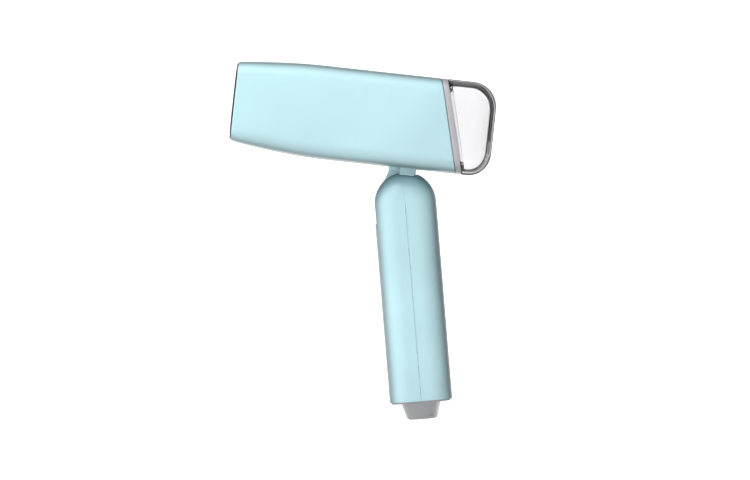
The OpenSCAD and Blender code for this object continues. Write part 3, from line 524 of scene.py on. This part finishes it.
# %%
def drill(name, centre, axis, r, length, sides=48):
    """A closed cylinder in millimetres: two circles of points joined by quads, with a
    ring of faces to each end's middle.
    """
    t = np.linspace(0, 2 * np.pi, sides, endpoint=False)
    along = Vector(axis).normalized()
    one = along.orthogonal().normalized()
    two = along.cross(one)
    circle = np.outer(np.cos(t), one) + np.outer(np.sin(t), two)
    ends = [np.array(centre) + np.array(along) * d for d in (-length / 2, length / 2)]
    rows = [np.repeat(ends[0][None], sides, 0), ends[0] + circle * r]
    rows += [ends[1] + circle * r, np.repeat(ends[1][None], sides, 0)]
    return piece(name, np.stack(rows), sheet_faces(4, sides))


def lathe(name, centre, axis, profile, sides=64):
    """A closed turned ring: pairs (radius, distance along the axis) swept once round."""
    t = np.linspace(0, 2 * np.pi, sides, endpoint=False)
    along = Vector(axis).normalized()
    one = along.orthogonal().normalized()
    two = along.cross(one)
    circle = np.outer(np.cos(t), one) + np.outer(np.sin(t), two)
    profile = np.array(profile, float)
    rows = (
        np.array(centre)
        + profile[:, 0, None, None] * circle[None]
        + profile[:, 1, None, None] * np.array(along)
    )
    return piece(name, rows, sheet_faces(len(profile), sides, wrap_rows=True))


CASE_SCREWS, SCREW_UP, SCREW_HOLE = (44.0, 118.1), 16.4, 3.0
steps = np.concatenate(
    [[0, 0.0012, 0.0035, 0.007], np.linspace(0.02, 0.985, 46), [0.9955, 0.9985, 1.0]]
)
out = np.zeros(len(steps))
out[:4], out[-3:] = [0.55, 0.2, 0.04, 0.0], [0.0, 0.12, 0.4]
for side, name in ((-1, "barrel_shell_left"), (1, "barrel_shell_right")):
    end = lambda z: ring_plane(z) - 0.12
    fore = lambda z: FRONT + 0 * z
    skin = wall_rows(steps, out, fore, end, table)
    lining = wall_rows(steps, np.full(len(steps), WALL), fore, end, table)
    wall = np.concatenate([skin, lining[:, ::-1]], axis=1)
    wall[..., 1] = side * np.maximum(wall[..., 1], 0.1)
    n = wall.shape[1]
    faces = np.concatenate(
        [sheet_faces(len(steps), n), end_faces(0, n), end_faces(len(steps) - 1, n)]
    )
    shell = piece(name + "_finish", wall, faces)
    if side > 0:
        for x in CASE_SCREWS:
            cut(shell, drill("recess", (x, 33, SCREW_UP), (0, 1, 0), SCREW_HOLE, 12))
    place(shell, "head", "aqua_plastic", finishes["aqua_plastic"], name)

# %% [markdown]
# Each recess is a short tube inside the shell, down to the screw's head.

# %%
TUBE = 4.2
for x in CASE_SCREWS:
    profile = [(SCREW_HOLE, 19), (TUBE, 19), (TUBE, 31.2), (SCREW_HOLE, 31.2)]
    tube = lathe("screw_tube", (x, 0, SCREW_UP), (0, 1, 0), profile)
    place(tube, "head", "aqua_plastic", finishes["aqua_plastic"])

# %% [markdown]
# ## Trim ring and water tank
#
# The grey ring between the barrel and the tank is a separate band. The tank
# is a clear moulding with a real inner wall: light bends where it enters and
# leaves each surface, which draws part of the blackish rims of clear plastic,
# so a single skin would look wrong; the finish adds painted shade to those rims
# where the surface turns edge-on. Its back end is rounded by shrinking the
# section along a quarter circle.

# %%
ring_steps = np.array([0, 0.03, 0.1, 0.5, 0.9, 0.97, 1.0])
ring_in = np.array([0.35, 0.1, 0.0, 0.0, 0.0, 0.1, 0.35])
band = ring_round(
    wall_rows(
        ring_steps,
        ring_in,
        lambda z: ring_plane(z) + 0.1,
        lambda z: ring_plane(z) + RING,
        table,
    )
)
bore = ring_round(
    wall_rows(
        ring_steps,
        np.full(7, 3.2),
        lambda z: ring_plane(z) + 0.1,
        lambda z: ring_plane(z) + RING,
        table,
    )
)
rows = np.concatenate([band, bore[::-1]])
ring = piece("trim_ring_finish", rows, sheet_faces(*rows.shape[:2], wrap_rows=True))
place(ring, "head", "grey_plastic", finishes["grey_plastic"], "trim_ring")


def tank_skin(inset, table):
    """Rows of one skin of the tank, from its open front to the middle of its back:
    straight rows, then rows shrinking along a quarter circle, then rings closing
    the flat back.
    """
    q2 = table[:, 3] ** 2
    top, low, side = 16.0 - inset, 14.0 - inset, 12.0 - inset
    deep = side + (np.where(table[:, 3] > 0, top, low) - side) * q2
    back = TANK_END - inset
    straight = wall_rows(
        [0, 0.02, 0.06, 0.3, 0.6, 0.9, 1.0],
        np.array([0.35, 0.08, 0, 0, 0, 0, 0]) * (inset == 0) + inset,
        lambda z: ring_plane(z) + RING + 0.3,
        lambda z: back - deep + 0 * z,
        table,
    )
    edge = straight[-1]
    t = np.radians(np.linspace(0, 90, 15)[1:])[:, None]
    z0 = (UP - DOWN) / 2
    height = (UP + DOWN) / 2 - inset
    x = back - deep * (1 - np.sin(t))
    y = edge[:, 1] * (1 - side * (1 - np.cos(t)) / (HALF_WIDTH - inset))
    zr = np.where(edge[:, 2] > z0, top, low)
    z = z0 + (edge[:, 2] - z0) * (1 - zr * (1 - np.cos(t)) / height)
    curve = np.stack([x, y, z], -1)
    shrink = np.array([0.85, 0.6, 0.3, 0.0])[:, None]
    last = curve[-1]
    flat = np.stack(
        [
            np.broadcast_to(last[:, 0], (4, len(last))),
            last[:, 1] * shrink,
            z0 + (last[:, 2] - z0) * shrink,
        ],
        -1,
    )
    return np.concatenate([straight, curve, flat])


outer, inner = ring_round(tank_skin(0.0, table)), ring_round(tank_skin(0.9, table))
rows = np.concatenate([outer[::-1], inner])
tank = piece("tank_shell_finish", rows, sheet_faces(*rows.shape[:2]), sharp=40)
place(tank, "tank", "clear_plastic", finishes["clear_plastic"], "tank_shell")

# %% [markdown]
# ## Handle shells
#
# The handle's two shells meet on a plane through the hinge. Down its length
# the section stays the same, and at the top that section turns about the
# hinge pin to make the round dome, so one rule serves both: a row of points
# is carried first round the pin and then straight down. The slot that clears
# the neck is a wedge about the pin, cut out of both shells.

# %%
PIN = np.array([117.4, 0.0, -53.5])
LEAN = math.radians(10.9)
HALF_DEPTH, GRIP_HALF_WIDTH, GRIP_ROUND, GRIP_WALL, GRIP_LENGTH = (
    20.3, 17.8, 14.0, 2.2, 128.5,
)


def from_handle(points):
    """Points of the handle's own frame, whose -z runs down the grip, put where the
    leaning handle is.
    """
    x, y, z = points[..., 0], points[..., 1], points[..., 2]
    return PIN + np.stack(
        [
            x * math.cos(LEAN) - z * math.sin(LEAN),
            y,
            x * math.sin(LEAN) + z * math.cos(LEAN),
        ],
        -1,
    )


def grip_row(inset, arc=15):
    """Half the grip's section as (depth, width) points, from one flank round the front
    to the other.
    """
    d, w, r = HALF_DEPTH - inset, GRIP_HALF_WIDTH - inset, GRIP_ROUND - inset
    t = np.radians(np.linspace(0, 90, arc))
    flank = np.linspace(0, 1, 5)[:-1, None] * np.array([[d - r, 0]]) + [[0, -w]]
    turn = np.stack([d - r + r * np.sin(t), -(w - r) - r * np.cos(t)], 1)
    half = np.concatenate([flank, turn])
    other = half[::-1] * [1, -1]
    return np.concatenate([half, [[d, 0]], other])


def grip_skin(side, inset, rim):
    """Rows of one skin of a half shell: round the pin from the top, then down the
    grip. Side is -1 for the front shell and 1 for the rear one, and rim moves in
    the rows next to the open end.
    """
    turn = np.radians(np.linspace(89.72, 0, 19))
    rim_steps = GRIP_LENGTH - np.array([0.5, 0.15, 0])
    down = np.concatenate([np.linspace(4, GRIP_LENGTH - 1.2, 30), rim_steps])
    rows = []
    for angle in turn:
        row = grip_row(inset)
        d = np.maximum(row[:, 0], 0.08)
        rows.append(np.stack([side * d * math.cos(angle), row[:, 1], d * math.sin(angle)], 1))
    for i, z in enumerate(down):
        row = grip_row(inset + rim[max(0, i - len(down) + 3)] * (i >= len(down) - 3))
        d = np.maximum(row[:, 0], 0.08)
        rows.append(np.stack([side * d, row[:, 1], np.full(len(d), -z)], 1))
    return np.stack(rows)


def wedge(name, first, last, r0, r1, half, steps=40):
    """A slice of a ring about the pin, between two angles from straight up towards the
    front.
    """
    t = np.radians(np.linspace(first, last, steps))
    corners = [(r0, -half), (r1, -half), (r1, half), (r0, half)]
    points = np.stack(
        [np.stack([-r * np.sin(t), np.full(steps, y), r * np.cos(t)], -1) for r, y in corners],
        axis=1,
    )
    ends = np.array([[0, 1, 2, 3], [4 * steps - 4, 4 * steps - 3, 4 * steps - 2, 4 * steps - 1]])
    faces = np.concatenate([sheet_faces(steps, 4), ends])
    return piece(name, from_handle(points), faces)


def slab(name, low, high):
    """A plain box in the handle's frame."""
    low, high = np.array(low, float), np.array(high, float)
    ring = np.array([[0, 0], [1, 0], [1, 1], [0, 1]])
    corners = low[:2] + ring * (high - low)[:2]
    points = np.array([[*corner, z] for z in (low[2], high[2]) for corner in corners])
    faces = np.concatenate([sheet_faces(2, 4), [[0, 1, 2, 3], [4, 5, 6, 7]]])
    return piece(name, from_handle(points), faces)


GRIP_SCREWS = (-62.0, -96.5)
rearwards = from_handle(np.array([1.0, 0, 0])) - PIN
for side, name in ((-1, "handle_front_shell"), (1, "handle_rear_shell")):
    skin = grip_skin(side, 0.0, (0.05, 0.2, 0.5))
    lining = grip_skin(side, GRIP_WALL, (0, 0, 0))
    wall = np.concatenate([skin, lining[:, ::-1]], axis=1)
    m, n = wall.shape[:2]
    faces = np.concatenate([sheet_faces(m, n), end_faces(0, n), end_faces(m - 1, n)])
    shell = piece(name + "_finish", from_handle(wall), faces)
    cut(shell, wedge("slot", -27.5, 121, 12, 32, 8.3))
    if side < 0:
        cut(shell, slab("window", (-30, -6.75, -50.25), (-14, 6.75, -21.75)))
    else:
        for z in GRIP_SCREWS:
            centre = from_handle(np.array([22.0, 0, z]))
            cut(shell, drill("recess", centre, rearwards, SCREW_HOLE, 14))
    place(shell, "handle", "aqua_plastic", finishes["aqua_plastic"], name)

for z in GRIP_SCREWS:
    centre = from_handle(np.array([0.0, 0, z]))
    profile = [(SCREW_HOLE, 9), (TUBE, 9), (TUBE, 18.6), (SCREW_HOLE, 18.6)]
    tube = lathe("screw_tube", centre, rearwards, profile)
    place(tube, "handle", "aqua_plastic", finishes["aqua_plastic"])

# %% [markdown]
# ## Neck
#
# The neck joins the barrel to the handle. Its round knuckle fills the slot in
# the handle and turns on the pin, and its front sweeps up to the belly in a
# hollow curve. A wider collar sits behind that curve: its underside is worked
# out from the dome's own shape plus a small clearance, so the handle's cheeks
# slide under it as they turn.


# %%
def offset(outline, by):
    """A closed outline moved in by a distance, along the mean direction of each
    point's two sides.
    """
    side = np.roll(outline, -1, 0) - np.roll(outline, 1, 0)
    length = np.maximum(np.linalg.norm(side, axis=1, keepdims=True), 1e-9)
    inward = np.stack([-side[:, 1], side[:, 0]], 1) / length
    return outline + inward * by


def arc(r, first, last, count):
    """Points on a circle about the pin, between two angles from straight up towards
    the front.
    """
    t = np.radians(np.linspace(first, last, count))
    return np.stack([-r * np.sin(t), r * np.cos(t)], 1)


STEM_BACK, STEM_TOP, KNUCKLE_HALF = 4.8, 23.5, 7.8
stem = [[STEM_BACK, STEM_TOP], [-12.5, STEM_TOP], [-12.55, 21.8], [-12.9, 19.4]]
stem += [[-13.4, 17.2], [-14.0, 15.3], [-14.9, 13.4]]
round_front, round_back = arc(19.7, 52, 150, 40), arc(17.4, 151, 346, 70)
knuckle = np.concatenate([stem, round_front, round_back, [[STEM_BACK, 18.6]]])
half_levels = [(7.0, 0.0), (7.55, 0.25), (KNUCKLE_HALF, 0.8)]
levels = [(-y, by) for y, by in half_levels[::-1]] + half_levels
hub = np.tile([-3.0, 0.0, 8.0], (len(knuckle), 1))
rows = [hub - [0, KNUCKLE_HALF, 0]]
for y, by in levels:
    outline = offset(knuckle, by)
    rows.append(np.stack([outline[:, 0], np.full(len(outline), y), outline[:, 1]], 1))
rows.append(hub + [0, KNUCKLE_HALF, 0])
neck = piece("hinge_neck_finish", PIN + np.stack(rows), sheet_faces(len(rows), len(knuckle)))
place(neck, "head", "aqua_plastic", finishes["aqua_plastic"], "hinge_neck")


def underside(x, y):
    """Height of the collar's underside above the pin: half a millimetre over the
    turning dome behind the pin, and over the folded grip in front of it.
    """
    reach = np.clip(np.abs(y) - (GRIP_HALF_WIDTH - GRIP_ROUND), 0, GRIP_ROUND - 0.5)
    r = HALF_DEPTH - GRIP_ROUND + np.sqrt(GRIP_ROUND**2 - reach**2) + 0.6
    return np.sqrt(r**2 - np.clip(x, 0, None) ** 2)


wide_back = [[4.8, 0], [4.8, 9.5], [4.6, 11.2], [4.0, 12.3], [2.6, 13], [-0.5, 13]]
hollow_front = [[-3.5, 13], [-5.5, 13], [-6.6, 11.4], [-7.9, 10.0], [-9.4, 8.9]]
nose = [[-11.0, 8.1], [-12.7, 7.7], [-12.9, 4]]
half = np.array([*wide_back, *hollow_front, *nose])
plan = np.concatenate([half, half[:0:-1] * [1, -1]])
centre = np.array([-4.0, 0.0])
rows = []
for scale in (0.0, 1.0):
    p = centre + (plan - centre) * scale
    rows.append(np.stack([p[:, 0], p[:, 1], np.full(len(p), STEM_TOP)], 1))
for scale, lift in ((1.0, 0.7), (0.985, 0.2), (0.95, 0.0), (0.5, 0.0), (0.0, 0.0)):
    p = centre + (plan - centre) * scale
    rows.append(np.stack([p[:, 0], p[:, 1], underside(p[:, 0], p[:, 1]) + lift], 1))
collar = piece("neck_collar", PIN + np.stack(rows), sheet_faces(len(rows), len(plan)), sharp=28)
place(collar, "head", "aqua_plastic", finishes["aqua_plastic"])

# %% [markdown]
# ## Floor, lights and camera
#
# A product like this is shown on plain white. The sweep is a floor that
# curves up behind, with a little light of its own so that it stays white
# without flooding the plastic. One large soft light from the upper left makes
# the broad highlight, a weak one from below right lifts the shaded edge, and
# the sky is dim so that the edges keep their darker tone.

# %%
sweep_x = np.linspace(-6, 6, 25)
turn = np.radians(np.linspace(0, 90, 17))
half_path = np.concatenate(
    [np.stack([4.6 + 0.9 * np.sin(turn), 0.9 - 0.9 * np.cos(turn)], 1), [[5.5, 5.0]]]
)
path = np.concatenate([half_path[::-1] * [-1, 1], half_path])
floor_z = model_box[0][2] - 0.055
points = np.stack(
    [
        np.broadcast_to(sweep_x[None, :], (len(path), 25)),
        np.broadcast_to(path[:, :1], (len(path), 25)),
        np.broadcast_to(path[:, 1:] + floor_z, (len(path), 25)),
    ],
    -1,
)
sweep = piece("sweep", points / MM, sheet_faces(len(path), 25, wrap_columns=False), sharp=180)
paper = Finish("studio paper")
cloud = paper.noise(3.0, 3.0)
paper.set(Base_Color=paper.mix(cloud, (0.86, 0.86, 0.86), (0.90, 0.90, 0.90)))
behind = paper.axis("Y").over(-0.05, 0.35)
paper.set(Roughness=0.85 + cloud * 0.1, Emission_Strength=0.88)
paper.set(Emission_Color=paper.mix(behind, (0.12, 0.12, 0.12), (1.0, 1.0, 1.0)))
sweep.data.materials.append(paper.material)


def softbox(name, at, towards, size, power):
    """A square area light at a point, turned to face another."""
    data = bpy.data.lights.new(name, "AREA")
    data.shape, data.size, data.energy = "SQUARE", size, power
    lamp = bpy.data.objects.new(name, data)
    bpy.context.scene.collection.objects.link(lamp)
    lamp.location = at
    lamp.rotation_euler = (Vector(towards) - Vector(at)).to_track_quat("-Z", "Y").to_euler()
    return lamp


middle = (0.09, 0.0, -0.06)
softbox("key", (-0.72, -0.85, 1.15), middle, 0.6, 27)
softbox("fill", (0.2, -1.5, -0.5), middle, 0.6, 1.0)
softbox("rim", (0.95, 0.25, -0.20), middle, 0.4, 0.6)
softbox("backdrop", (0.1, 0.9, 2.2), (0.1, 1.8, 0.0), 1.6, 4)

world = bpy.data.worlds.new("studio air")
bpy.context.scene.world = world
world.use_nodes = True
sky = world.node_tree.nodes["Background"]
sky.inputs["Color"].default_value = (1, 1, 1, 1)
sky.inputs["Strength"].default_value = 0.13

camera_data = bpy.data.cameras.new("camera")
camera_data.lens, camera_data.sensor_width = 259.3, 36.0
camera = bpy.data.objects.new("camera", camera_data)
bpy.context.scene.collection.objects.link(camera)
roll = math.radians(6.25)
right = Vector((math.cos(roll), 0, math.sin(roll)))
up = Vector((-math.sin(roll), 0, math.cos(roll)))
back = right.cross(up)
turned = Matrix((right, up, back)).transposed().to_4x4()
camera.matrix_world = Matrix.Translation((0.10071, -3.5, -0.0794)) @ turned
bpy.context.scene.camera = camera
bpy.context.scene.view_settings.view_transform = "Standard"
print("camera at", [round(v, 3) for v in camera.location])
